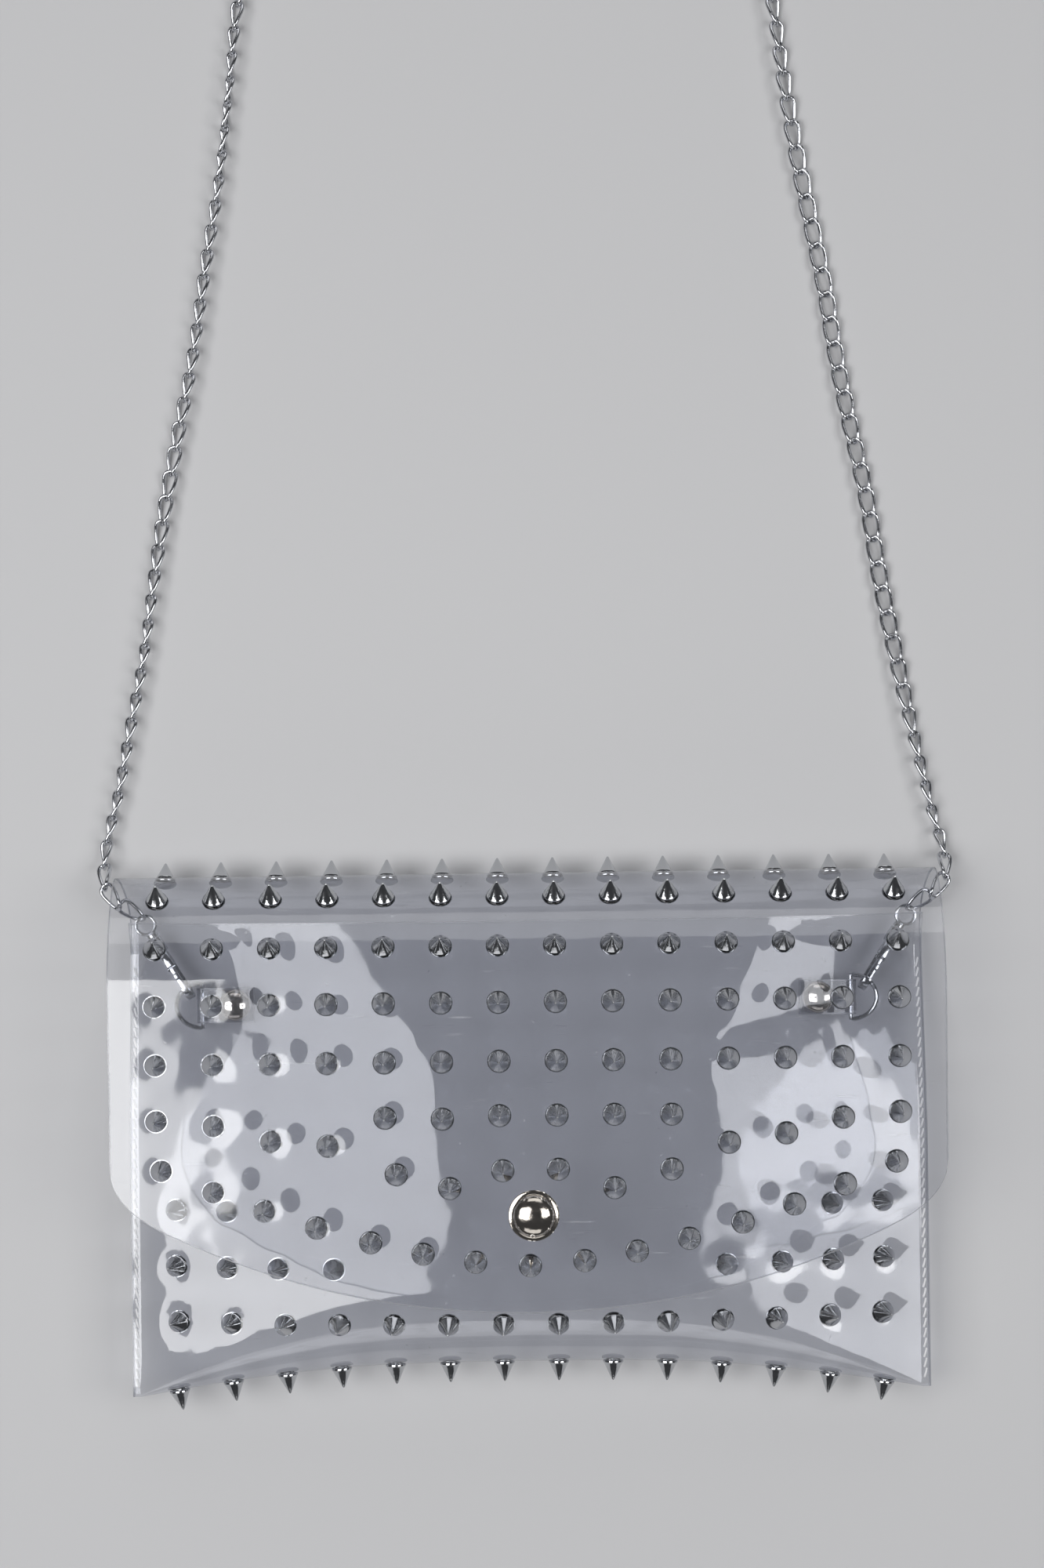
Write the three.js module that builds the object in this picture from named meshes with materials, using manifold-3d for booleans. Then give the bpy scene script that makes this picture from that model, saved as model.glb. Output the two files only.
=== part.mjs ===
// Clear pillow-shaped clutch with a studded flap, a press snap and a shoulder chain,
// lying on its back. Millimetres. +X is the wearer's right-hand side of the front,
// +Y runs from the bottom fold to the top fold and +Z is out of the front.
// Lengths along Y are counted from the line through the pocket's two bottom corners.
import * as THREE from 'three';
import { mergeVertices } from 'three/addons/utils/BufferGeometryUtils.js';
import Module from 'manifold-3d';

const wasm = await Module();
wasm.setup();

const { clamp, lerp, degToRad, smoothstep } = THREE.MathUtils;

// ---- Driving dimensions ----
const CENTRE_Y = 79.7; // middle of the bag's length, where the origin stands
const GAP = 0.3; // running gap between neighbouring solids
const SHEET = 0.8; // sheet thickness as modelled

// Pocket: one sheet folded at the bottom and sewn down both sides
const POCKET_HALF = 120; // half of the sewn width
const STITCH_X = 117.5; // stitch line, measured from the middle
const MOUTH_Y = 143; // free edge of the front panel
const POCKET_THICK = 37; // front of the filled pocket above the surface
const MOUTH_DROP = 6; // how much lower the front is at the mouth
const SEAM_HEIGHT = 14; // side seams above the surface
const SEAM_DROP = 10; // how far the seams come down towards the mouth
const SEAM_DROP_Y = 70; // where they start to come down
const MOUTH_FLARE = 5.5; // the unsewn top corners stand open by this much
const FLARE_Y = 133;
const FLAT_HALF = 40; // half width of the flat that the bag lies on
const BACK_CURVE = 1.6; // exponent of the back's rise from that flat to the seams
const FRONT_CURVE = 2.1; // exponent of the front's fall to the seams, low on the pocket
const MOUTH_CURVE = 2.9; // added to it at the mouth, where the sides stand steeper
const EASE_Y = 95; // above this the front eases down to the mouth
const FOLD_BOW = 0.285; // pull-in of the bottom fold for each unit of thickness
const FRONT_REACH = 0.675; // length of the fold's front curve for each unit of thickness

// Top fold: bend radii, with the angle of the sheet's normal from +Z towards +Y
const FOLD_START_Y = 139;
const FOLD_BENDS = [
  { radius: 17.7, from: 180, to: 96.5 },
  { radius: 17, from: 96.5, to: 50 },
  { radius: 43, from: 50, to: 1 },
];
const FOLD_SPREAD = 30; // the fold reaches the flap's full width after this length

// Flap
const FLAP_HALF = 123;
const FLAP_SIDE_Y = 72; // end of the straight side edge
const FLAP_CORNER = { x: 109, y: 61.5 };
const FLAP_TIP_Y = 28.1;
const FLAP_EDGE_RADIUS = 243;

// Cone studs
const STUD_RADIUS = 3;
const STUD_HEIGHT = 6;
const STUD_SIDES = 6;
const STUD_BAR = 0.8; // thickness of the bar that joins one row's cones
const STUD_BAR_LIFT = 1;
const COLUMN_PITCH = 16.75;
const COLUMNS = 14;
const ROW_PITCH = 17.2; // along the sheet, over the fold
const BACK_ROW_DROP = 5; // the row behind the fold stands this much lower, and points down a little
const PANEL_PITCH = 16;
const EDGE_STUDS = 15;
const EDGE_PITCH = 15.4;

// Press snap
const SNAP = { x: 1.2, y: 56.9 };

// Hardware at each side
const RIVET = { x: 88.7, y: 117.3 };
const BAR_REACH = 9.8; // rivet to the bar of the D ring
const D_DEPTH = 8.4;
const D_HALF = 6.8;
const D_WIRE = 0.7;
const D_TILT = 27; // ring above the level
const TAB_RISE = 7; // of that, what the tab's own slope gives
const HOOK = { x: 102.65, y: 122.4, z: 9.3 }; // where the hook hangs on the D ring
const HOOK_DIRECTION = { x: 0.538, y: 0.843, z: -0.085 };

// Chain
const CHAIN_RADIUS = 2.5;
const CHAIN_SIDES = 8;
const CHAIN_STEP = 13;
const COIL = { x: -2, y: 474, outer: 37, inner: 25.5, height: 5.6 };

// ---- Materials ----
const clearVinyl = () =>
  new THREE.MeshStandardMaterial({
    color: 0xdfe3ee,
    roughness: 0.08,
    metalness: 0,
    transparent: true,
    opacity: 0.3,
  });
const metal = (color, roughness) =>
  new THREE.MeshStandardMaterial({ color, roughness, metalness: 1 });
const thread = () =>
  new THREE.MeshStandardMaterial({ color: 0xe9e9ec, roughness: 0.7, metalness: 0 });
const SILVER = 0xc9cbd0;
const NICKEL = 0xb9b2a8;

// ---- Solids ----
function toSolid(geometry) {
  const bare = geometry.clone();
  bare.deleteAttribute('normal');
  bare.deleteAttribute('uv');
  const merged = mergeVertices(bare, 1e-4);
  return new wasm.Manifold(
    new wasm.Mesh({
      numProp: 3,
      vertProperties: new Float32Array(merged.attributes.position.array),
      triVerts: new Uint32Array(merged.index.array),
    }),
  );
}

function toGeometry(solid) {
  const mesh = solid.getMesh();
  const geometry = new THREE.BufferGeometry();
  geometry.setAttribute('position', new THREE.BufferAttribute(mesh.vertProperties, 3));
  geometry.setIndex(new THREE.BufferAttribute(mesh.triVerts, 1));
  return geometry;
}

const joined = (shapes) =>
  toGeometry(shapes.map(toSolid).reduce((whole, next) => whole.add(next)));
const without = (shape, tools) =>
  toGeometry(tools.map(toSolid).reduce((left, next) => left.subtract(next), toSolid(shape)));

// A closed sheet of the modelled thickness. outside(u, v) is a point of its outer face,
// and its normal, the direction of growing u crossed with that of growing v, points out.
function sheet(us, vs, outside, thickness = SHEET) {
  const step = 1e-3;
  const points = [];
  for (const depth of [0, thickness]) {
    for (const v of vs) {
      for (const u of us) {
        const alongU = outside(u + step, v).sub(outside(u - step, v));
        const alongV = outside(u, v + step).sub(outside(u, v - step));
        const normal = alongU.cross(alongV).normalize();
        points.push(outside(u, v).addScaledVector(normal, -depth));
      }
    }
  }
  const wide = us.length;
  const layer = wide * vs.length;
  const index = [];
  const quad = (a, b, c, d) => index.push(a, b, c, a, c, d);
  for (let j = 0; j + 1 < vs.length; j++) {
    for (let i = 0; i + 1 < wide; i++) {
      const a = j * wide + i;
      quad(a, a + 1, a + wide + 1, a + wide);
      quad(layer + a, layer + a + wide, layer + a + wide + 1, layer + a + 1);
    }
    const left = j * wide;
    const right = left + wide - 1;
    quad(left, left + wide, layer + left + wide, layer + left);
    quad(right, layer + right, layer + right + wide, right + wide);
  }
  const last = layer - wide;
  for (let i = 0; i + 1 < wide; i++) {
    quad(i, layer + i, layer + i + 1, i + 1);
    quad(last + i, last + i + 1, layer + last + i + 1, layer + last + i);
  }
  const geometry = new THREE.BufferGeometry().setFromPoints(points);
  geometry.setIndex(index);
  return geometry;
}

const bag = new THREE.Group();
bag.position.y = -CENTRE_Y;

function add(name, geometry, material, parent = bag) {
  const mesh = new THREE.Mesh(geometry, material);
  mesh.name = name;
  parent.add(mesh);
  return mesh;
}

// ---- Shape of the filled pocket ----
const seamHeight = (y) => SEAM_HEIGHT - SEAM_DROP * smoothstep(y, SEAM_DROP_Y, MOUTH_Y);
const seamStack = 2 * SHEET + GAP;

function backHeight(x, y) {
  const out = clamp((Math.abs(x) - FLAT_HALF) / (STITCH_X - FLAT_HALF), 0, 1);
  return seamHeight(y) * out ** BACK_CURVE;
}

function frontHeight(x, y) {
  const out = Math.min(Math.abs(x) / STITCH_X, 1);
  const ease = smoothstep(y, EASE_Y, MOUTH_Y);
  const flare = MOUTH_FLARE * smoothstep(y, FLARE_Y, MOUTH_Y);
  const edge = seamHeight(y) + seamStack + flare;
  const crest = POCKET_THICK - MOUTH_DROP * ease;
  return edge + (crest - edge) * (1 - out ** (FRONT_CURVE + MOUTH_CURVE * ease));
}

function bottomFold(x) {
  const low = backHeight(x, 0);
  const high = frontHeight(x, 0);
  const thick = high - low;
  return {
    edge: FOLD_BOW * thick,
    middle: (low + high) / 2,
    half: thick / 2,
    frontReach: FRONT_REACH * thick,
  };
}

// v is -1 where the fold leaves the back, 0 at its edge, 1 where the front starts and
// 2 at the mouth.
function pocketSkin(x, v) {
  const fold = bottomFold(x);
  const turn = (clamp(v, -1, 1) * Math.PI) / 2;
  const reach = v < 0 ? fold.half : fold.frontReach;
  const y = fold.edge + reach * (1 - Math.cos(turn));
  if (v <= 1) {
    return new THREE.Vector3(x, y, fold.middle + fold.half * Math.sin(turn));
  }
  const up = lerp(y, MOUTH_Y, v - 1);
  return new THREE.Vector3(x, up, frontHeight(x, up));
}

// The back panel, with v from 0 at the top fold to 1 at the bottom fold
function backSkin(x, v) {
  const fold = bottomFold(x);
  const y = lerp(FOLD_START_Y - GAP, fold.edge + fold.half + 1.5 * GAP, v);
  return new THREE.Vector3(x, y, backHeight(x, y));
}

const mirrored = (values) => [...values.map((value) => -value), 0, ...values.toReversed()];
const across = mirrored([POCKET_HALF, STITCH_X, 112, 104, 94, 82, 68, 54, FLAT_HALF, 20]);
const roundTheFold = [-1, -0.75, -0.5, -0.25, 0, 0.25, 0.5, 0.75, 1];
const upTheFront = [1.2, 1.4, 1.55, 1.7, 1.8, 1.9, 2];
const downTheBack = [0, 0.1, 0.2, 0.35, 0.5, 0.75, 1];

// ---- Top fold ----
// The profile at a distance along the sheet from where it leaves the back
function foldProfile(distance) {
  let y = FOLD_START_Y;
  let z = 0;
  let left = distance;
  for (const bend of FOLD_BENDS) {
    const from = degToRad(bend.from);
    const turn = clamp(left / bend.radius, 0, from - degToRad(bend.to));
    y += bend.radius * (Math.sin(from) - Math.sin(from - turn)) * -1;
    z += bend.radius * (Math.cos(from - turn) - Math.cos(from));
    left -= turn * bend.radius;
    if (left <= 1e-9) {
      return { y, z, angle: from - turn };
    }
  }
  const angle = degToRad(FOLD_BENDS.at(-1).to);
  return { y: y - left * Math.cos(angle), z: z - left * Math.sin(angle), angle };
}

const bendLength = (bend) => bend.radius * degToRad(bend.from - bend.to);
const foldLength = FOLD_BENDS.reduce((total, bend) => total + bendLength(bend), 0);
const crestDistance = bendLength(FOLD_BENDS[0]); // the first row of studs stands here
const crestHeight = foldProfile(crestDistance).z;
const flapTop = foldProfile(foldLength);

// u runs over the width and v over the length, from the flap to the back
function foldSkin(u, v) {
  const distance = foldLength * (1 - v);
  const half = lerp(POCKET_HALF, FLAP_HALF, smoothstep(distance, 0, FOLD_SPREAD));
  const { y, z } = foldProfile(distance);
  const lift = backHeight(u * half, FOLD_START_Y) * Math.max(1 - z / crestHeight, 0);
  return new THREE.Vector3(u * half, y, z + lift);
}

// ---- Studs ----
const UP = new THREE.Vector3(0, 0, 1);
const RIGHT = new THREE.Vector3(1, 0, 0);

function cone({ point, normal }) {
  const geometry = new THREE.ConeGeometry(STUD_RADIUS, STUD_HEIGHT, STUD_SIDES);
  geometry.rotateX(Math.PI / 2);
  geometry.translate(0, 0, GAP + STUD_HEIGHT / 2);
  geometry.applyQuaternion(new THREE.Quaternion().setFromUnitVectors(UP, normal));
  return geometry.translate(point.x, point.y, point.z);
}

function bar(first, second) {
  const ends = [first, second].map(({ point, normal }) =>
    point.clone().addScaledVector(normal, STUD_BAR_LIFT),
  );
  const along = ends[1].clone().sub(ends[0]);
  const middle = ends[0].clone().addScaledVector(along, 0.5);
  const geometry = new THREE.BoxGeometry(along.length(), STUD_BAR, STUD_BAR);
  const turn = new THREE.Quaternion().setFromUnitVectors(RIGHT, along.normalize());
  return geometry.applyQuaternion(turn).translate(middle.x, middle.y, middle.z);
}

function studRow(name, places, parent = bag) {
  const bars = places.slice(1).map((place, k) => bar(places[k], place));
  add(name, joined([...places.map(cone), ...bars]), metal(SILVER, 0.18), parent);
}

const columnX = (k, pitch = COLUMN_PITCH, count = COLUMNS) => (k - (count - 1) / 2) * pitch;
const allColumns = [...Array(COLUMNS).keys()];

// ---- Sheets ----
const snapHole = (y) => {
  const hole = new THREE.CylinderGeometry(1.9, 1.9, 12, 12).rotateX(Math.PI / 2);
  return hole.translate(SNAP.x, y, 0);
};
const frontSheet = sheet(across, [...roundTheFold, ...upTheFront], pocketSkin);
const snapFrontZ = frontHeight(SNAP.x, SNAP.y);
add('front_panel', without(frontSheet, [snapHole(SNAP.y).translate(0, 0, snapFrontZ)]), clearVinyl());

const foldRows = [...Array(15).keys()].map((k) => k / 14);
const foldColumns = mirrored([1, 0.975, 0.93, 0.86, 0.76, 0.64, 0.5, 0.3333]);
add('top_fold', sheet(foldColumns, foldRows, foldSkin), clearVinyl());

const stitchRows = [1, ...upTheFront.filter((v) => v < 1.95)]; // the seam ends below the flare
for (const [side, label] of [
  [-1, 'left'],
  [1, 'right'],
]) {
  const stitch = (u, v) => {
    const point = pocketSkin(side * (STITCH_X + 1.2) + u, v);
    return point.setZ(point.z + GAP + 0.4);
  };
  add(`side_stitch_${label}`, sheet([-0.5, 0.5], stitchRows, stitch, 0.4), thread());
}

const flap = new THREE.Group();
flap.position.set(0, flapTop.y, flapTop.z);
flap.rotation.x = flapTop.angle;
bag.add(flap);
const onFlap = (y) => y - flapTop.y; // from the bag's length to the flap's own

const flapShape = new THREE.Shape();
const flapEdgeCentre = FLAP_TIP_Y + FLAP_EDGE_RADIUS;
const cornerAngle = Math.acos(FLAP_CORNER.x / FLAP_EDGE_RADIUS);
const cornerEndY = flapEdgeCentre - FLAP_EDGE_RADIUS * Math.sin(cornerAngle);
flapShape.moveTo(-FLAP_HALF, -GAP);
flapShape.lineTo(-FLAP_HALF, onFlap(FLAP_SIDE_Y));
flapShape.quadraticCurveTo(-FLAP_HALF, onFlap(FLAP_CORNER.y), -FLAP_CORNER.x, onFlap(cornerEndY));
flapShape.absarc(
  0,
  onFlap(flapEdgeCentre),
  FLAP_EDGE_RADIUS,
  cornerAngle - Math.PI,
  -cornerAngle,
  false,
);
flapShape.quadraticCurveTo(FLAP_HALF, onFlap(FLAP_CORNER.y), FLAP_HALF, onFlap(FLAP_SIDE_Y));
flapShape.lineTo(FLAP_HALF, -GAP);
const flapBlank = new THREE.ExtrudeGeometry(flapShape, {
  depth: SHEET,
  bevelEnabled: false,
  curveSegments: 16,
}).translate(0, 0, -SHEET);
add('flap_sheet', without(flapBlank, [snapHole(onFlap(SNAP.y))]), clearVinyl(), flap);

// ---- Stud rows ----
for (const [label, offset] of [
  ['back', -BACK_ROW_DROP],
  ['crest', ROW_PITCH],
  ['front', 2 * ROW_PITCH],
]) {
  const { y, z, angle } = foldProfile(crestDistance + offset);
  const normal = new THREE.Vector3(0, Math.sin(angle), Math.cos(angle));
  const places = allColumns.map((k) => ({ point: new THREE.Vector3(columnX(k), y, z), normal }));
  studRow(`fold_studs_${label}`, places);
}

const flapPlace = (x, y) => ({ point: new THREE.Vector3(x, onFlap(y), 0), normal: UP });
const flapRows = [
  { y: 119.5, columns: allColumns, drops: {} },
  { y: 102.2, columns: allColumns, drops: {} },
  { y: 85.7, columns: allColumns, drops: { 2: 6, 3: 7.5, 10: 8, 11: 5.5 } },
  { y: 70, columns: [4, 5, 6, 7, 8, 9], drops: { 5: 5, 8: 5.3 } },
];
flapRows.forEach(({ y, columns, drops }, row) => {
  const places = columns.map((k) => flapPlace(columnX(k), y - (drops[k] ?? 0)));
  studRow(`flap_studs_row_${row + 1}`, places, flap);
});

const edgeRowY = (x) => 42 + 0.0142 * Math.abs(x) ** 1.63;
const edgeColumns = [...Array(EDGE_STUDS).keys()].map((k) => columnX(k, EDGE_PITCH, EDGE_STUDS));
studRow('flap_studs_edge', edgeColumns.map((x) => flapPlace(x, edgeRowY(x))), flap);

function pocketPlace(x, y) {
  const height = (px, py) => {
    const { edge, middle, half, frontReach } = bottomFold(px);
    const short = clamp((edge + frontReach - py) / frontReach, 0, 1);
    return short > 0 ? middle + half * Math.sqrt(1 - short * short) : frontHeight(px, py);
  };
  const slopeX = (height(x + 0.1, y) - height(x - 0.1, y)) / 0.2;
  const slopeY = (height(x, y + 0.1) - height(x, y - 0.1)) / 0.2;
  const normal = new THREE.Vector3(-slopeX, -slopeY, 1).normalize();
  return { point: new THREE.Vector3(x, y, height(x, y)), normal };
}

const panelX = (k) => columnX(k, PANEL_PITCH);
for (const [name, y, columns] of [
  ['panel_studs_upper_left', 57, [0, 1]],
  ['panel_studs_upper_right', 57, [12, 13]],
  ['panel_studs_middle_left', 40.3, [0, 1, 2, 3]],
  ['panel_studs_middle_right', 40.3, [10, 11, 12, 13]],
  ['panel_studs_lower', 23.5, allColumns],
]) {
  studRow(name, columns.map((k) => pocketPlace(panelX(k), y)));
}
function foldPlace(x) {
  const point = pocketSkin(x, 0);
  const slope = pocketSkin(x + 0.1, 0).y - pocketSkin(x - 0.1, 0).y;
  return { point, normal: new THREE.Vector3(slope / 0.2, -1, 0).normalize() };
}
studRow('panel_studs_bottom', allColumns.map((k) => foldPlace(panelX(k))));

// ---- Press snap ----
// Each outline is [radius, height] pairs from the axis round to the axis.
function turned(outline, segments = 16) {
  const points = outline.map(([radius, height]) => new THREE.Vector2(radius, height));
  return new THREE.LatheGeometry(points, segments).rotateX(Math.PI / 2);
}
const snapAt = (geometry, z) => geometry.translate(SNAP.x, SNAP.y, z);
const flapUnderZ = flapTop.z - (flapTop.y - SNAP.y) * Math.tan(flapTop.angle) - SHEET;

const capOutline = [[0, -0.9], [1.5, -0.9], [1.5, 1.1], [7.5, 1.1], [7.5, 1.7], [6.4, 2]];
const capDome = [[5.8, 3.2], [4.4, 4.3], [2.3, 4.9], [0, 5.1]];
add('snap_cap', snapAt(turned([...capOutline, ...capDome]), flapUnderZ), metal(NICKEL, 0.16));

const socketOutline = [
  [1.9, -0.3], [1.9, -1], [2.6, -1], [2.6, -3.4], [4.2, -3.4], [5.2, -2.6], [5.2, -0.3],
];
socketOutline.push(socketOutline[0]);
add('snap_socket', snapAt(turned(socketOutline), flapUnderZ), metal(NICKEL, 0.22));

const backRingTop = -SHEET - GAP;
const studOutline = [
  [0, -1.7], [1.5, -1.7], [1.5, 0.3], [6, 0.3], [6, 0.9], [3, 1.1], [1.9, 1.3], [2.2, 2.8],
];
add('snap_stud', snapAt(turned([...studOutline, [1.6, 3.4], [0, 3.4]]), snapFrontZ), metal(NICKEL, 0.22));

const ringOutline = [[1.8, -0.7], [6, -0.7], [6, 0], [1.8, 0], [1.8, -0.7]];
add(
  'snap_back_ring',
  snapAt(turned(ringOutline), snapFrontZ + backRingTop),
  metal(NICKEL, 0.25),
);

// ---- Tab, D ring and snap hook at each side ----
class EllipseArc extends THREE.Curve {
  getPoint(t, target = new THREE.Vector3()) {
    const angle = lerp(-Math.PI / 2, Math.PI / 2, t);
    return target.set(D_DEPTH * Math.cos(angle), D_HALF * Math.sin(angle), 0);
  }
}

function roundSection(radius, sides) {
  const shape = new THREE.Shape();
  for (let k = 0; k < sides; k++) {
    const angle = (2 * Math.PI * (k + 0.5)) / sides;
    const move = k === 0 ? 'moveTo' : 'lineTo';
    shape[move](radius * Math.cos(angle), radius * Math.sin(angle));
  }
  return shape;
}

function dRingShape() {
  const arc = new THREE.ExtrudeGeometry(roundSection(D_WIRE, 8), {
    steps: 16,
    bevelEnabled: false,
    extrudePath: new EllipseArc(),
  });
  const bend = new THREE.CylinderGeometry(D_WIRE, D_WIRE, 2 * D_HALF + 1.2, 8);
  return joined([arc, bend]);
}

const TAB_LOOP = 1; // inside radius of the loop round the bar
const tabLoopZ = SHEET + TAB_LOOP;

function tabShape() {
  const shape = new THREE.Shape();
  shape.moveTo(TAB_END, 0);
  shape.lineTo(BAR_REACH, 0);
  shape.absarc(BAR_REACH, tabLoopZ, TAB_LOOP + SHEET, -Math.PI / 2, degToRad(110), false);
  shape.lineTo(6.2, 2 * SHEET + GAP);
  shape.lineTo(TAB_END, 2 * SHEET + GAP);
  shape.lineTo(TAB_END, SHEET + GAP);
  shape.lineTo(6, SHEET + GAP);
  shape.absarc(BAR_REACH, tabLoopZ, TAB_LOOP, degToRad(130), -Math.PI / 2, true);
  shape.lineTo(TAB_END, SHEET);
  const width = 10.5;
  const strip = new THREE.ExtrudeGeometry(shape, {
    depth: width,
    bevelEnabled: false,
    curveSegments: 8,
  });
  return strip.rotateX(Math.PI / 2).translate(0, width / 2, 0);
}

const rivetTop = 2 * SHEET + 2 * GAP;
const rivetOutline = [
  [0, -2], [1.3, -2], [1.3, rivetTop], [4.75, rivetTop], [4.6, rivetTop + 0.9],
  [3.6, rivetTop + 1.9], [1.9, rivetTop + 2.4], [0, rivetTop + 2.5],
];
const washerOutline = [[1.6, -2.1], [4.5, -2.1], [4.5, -1.4], [1.6, -1.4], [1.6, -2.1]];
const rivetHole = () =>
  new THREE.CylinderGeometry(1.6, 1.6, 14, 12).rotateX(Math.PI / 2);

// The tab lies along the back panel, with x pointing to the bag's side and z up.
const TAB_END = -6;

function tabPlace(side) {
  const { x, y } = RIVET;
  const from = x + TAB_END;
  const to = x + BAR_REACH + TAB_LOOP + SHEET;
  const rise = (backHeight(to, y) - backHeight(from, y)) / (to - from);
  const slope = (backHeight(x, y + 5) - backHeight(x, y - 5)) / 10;
  const along = new THREE.Vector3(side, 0, rise).normalize();
  const aside = new THREE.Vector3(0, side, side * slope).normalize();
  const up = along.clone().cross(aside).normalize();
  const height = backHeight(from, y) + rise * (x - from) + SHEET + 1.3 * GAP;
  const place = new THREE.Group();
  place.position.set(side * x, y, height);
  place.quaternion.setFromRotationMatrix(
    new THREE.Matrix4().makeBasis(along, up.clone().cross(along), up),
  );
  place.updateMatrix();
  return place;
}

// The hook lies on edge: x runs from the jaw to the swivel, z is up, y is its thickness.
function hookShape() {
  const thickness = 2.4;
  const jaw = { centre: 0.4, outer: 3.4, inner: 1.9 };
  const slotEnd = 9.6;
  const shape = new THREE.Shape();
  shape.moveTo(8.6, jaw.outer);
  shape.lineTo(8.6, jaw.inner);
  shape.lineTo(slotEnd, jaw.inner);
  shape.lineTo(slotEnd, -jaw.inner);
  shape.lineTo(jaw.centre, -jaw.inner);
  shape.absarc(jaw.centre, 0, jaw.inner, -Math.PI / 2, Math.PI / 2, true);
  shape.lineTo(0.9, jaw.inner);
  shape.lineTo(0.9, jaw.outer);
  shape.lineTo(jaw.centre, jaw.outer);
  shape.absarc(jaw.centre, 0, jaw.outer, Math.PI / 2, -Math.PI / 2, false);
  shape.lineTo(10.5, -3.2);
  shape.lineTo(14.5, -2);
  shape.lineTo(14.5, 2);
  shape.lineTo(10.5, 3.2);
  const body = new THREE.ExtrudeGeometry(shape, {
    depth: thickness,
    bevelEnabled: false,
    curveSegments: 10,
  });
  body.rotateX(Math.PI / 2).translate(0, thickness / 2, 0);
  const barrel = new THREE.CylinderGeometry(2.05, 2.05, 5, 12).rotateZ(Math.PI / 2);
  barrel.translate(16, 0, 0);
  const bore = new THREE.CylinderGeometry(1, 1, 12, 12).rotateZ(Math.PI / 2).translate(15, 0, 0);
  return without(joined([body, barrel]), [bore]);
}

const GATE_PIVOT = { x: 8, z: 2.65 };

function gateShape() {
  const thickness = 1.6;
  const shape = new THREE.Shape();
  for (const [x, z] of [
    [1.2, 2.05], [8.3, 2.05], [8.3, 3.25], [6, 3.25], [5.4, 4.5], [4.2, 4.5], [3.8, 3.25],
    [1.2, 3.25],
  ]) {
    const move = x === 1.2 && z === 2.05 ? 'moveTo' : 'lineTo';
    shape[move](x, z);
  }
  const gate = new THREE.ExtrudeGeometry(shape, { depth: thickness, bevelEnabled: false });
  return gate.rotateX(Math.PI / 2).translate(0, thickness / 2, 0);
}

function swivelShape() {
  const rod = (radius, from, to) =>
    new THREE.CylinderGeometry(radius, radius, to - from, 12)
      .rotateZ(Math.PI / 2)
      .translate((from + to) / 2, 0, 0);
  const eye = new THREE.TorusGeometry(2.9, 0.6, 8, 20).translate(23.4, 0, 0);
  return joined([rod(1.5, 8.7, 9.3), rod(0.7, 9.1, 19.4), rod(1.8, 18.9, 20.2), eye]);
}

function hookPlace(side) {
  const along = new THREE.Vector3(
    side * HOOK_DIRECTION.x,
    HOOK_DIRECTION.y,
    HOOK_DIRECTION.z,
  ).normalize();
  const thick = UP.clone().cross(along).normalize();
  const up = along.clone().cross(thick);
  const place = new THREE.Group();
  place.position.set(side * HOOK.x, HOOK.y, HOOK.z);
  place.quaternion.setFromRotationMatrix(new THREE.Matrix4().makeBasis(along, thick, up));
  return place;
}

const backHoles = [];
for (const [side, label] of [
  [-1, 'left'],
  [1, 'right'],
]) {
  const tab = tabPlace(side);
  bag.add(tab);
  backHoles.push(rivetHole().applyMatrix4(tab.matrix));
  add(`tab_${label}`, without(tabShape(), [rivetHole()]), clearVinyl(), tab);
  add(`tab_rivet_${label}`, turned(rivetOutline), metal(NICKEL, 0.16), tab);
  add(`tab_washer_${label}`, turned(washerOutline), metal(NICKEL, 0.25), tab);
  const dRing = add(`d_ring_${label}`, dRingShape(), metal(SILVER, 0.16), tab);
  dRing.position.set(BAR_REACH, 0, tabLoopZ);
  dRing.rotation.y = -degToRad(D_TILT - TAB_RISE);

  const hook = hookPlace(side);
  bag.add(hook);
  add(`hook_${label}`, hookShape(), metal(SILVER, 0.2), hook);
  add(`hook_gate_${label}`, gateShape(), metal(SILVER, 0.2), hook);
  add(`swivel_eye_${label}`, swivelShape(), metal(SILVER, 0.18), hook);
}
add('back_panel', without(sheet(across, downTheBack, backSkin), backHoles), clearVinyl());

// ---- Chain ----
const chainLeft = [
  [-117.3, 145.6, 8.9], [-120.6, 147.3, 10.2], [-124.2, 149.7, 11], [-126.8, 154, 9],
  [-127.8, 159, 5.6], [-127.4, 165, 3.2], [-126.2, 171, 2.6], [-124.4, 178, 2.6],
  [-119.6, 201.6, 2.6], [-115.3, 223, 2.6], [-112.1, 244.5, 2.6], [-108.2, 268.2, 2.6],
  [-103.6, 292.1, 2.6], [-99.2, 313.5, 2.6], [-94.7, 342.1, 2.6], [-90.6, 365.9, 2.6],
  [-86.9, 394.6, 2.6], [-83.4, 423.1, 2.6], [-80.5, 434, 2.6], [-73, 443.5, 2.6],
  [-60, 450.5, 2.6], [-46, 452, 2.6], [-32.3, 448.4, 2.6],
];
const chainRight = [
  [117.3, 145.6, 8.9], [120.6, 147.3, 10.2], [124.2, 149.7, 11], [126.8, 154, 9],
  [127.6, 159, 5.6], [126.6, 165, 3.2], [124.8, 171.5, 2.6], [121.8, 184, 2.6],
  [117.6, 203.1, 2.6], [113.2, 224.6, 2.6], [109.2, 246.1, 2.6], [105.5, 270.1, 2.6],
  [100.5, 294, 2.6], [96.5, 315.6, 2.6], [94, 332.3, 2.6], [89.8, 353.9, 2.6],
  [86.1, 373, 2.6], [82.2, 396.9, 2.6], [78.9, 420.9, 2.6], [76.5, 432, 2.6],
  [69.5, 441.5, 2.6], [57, 449.5, 2.6], [42, 452, 2.6], [28.3, 448.4, 2.6],
];
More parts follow.
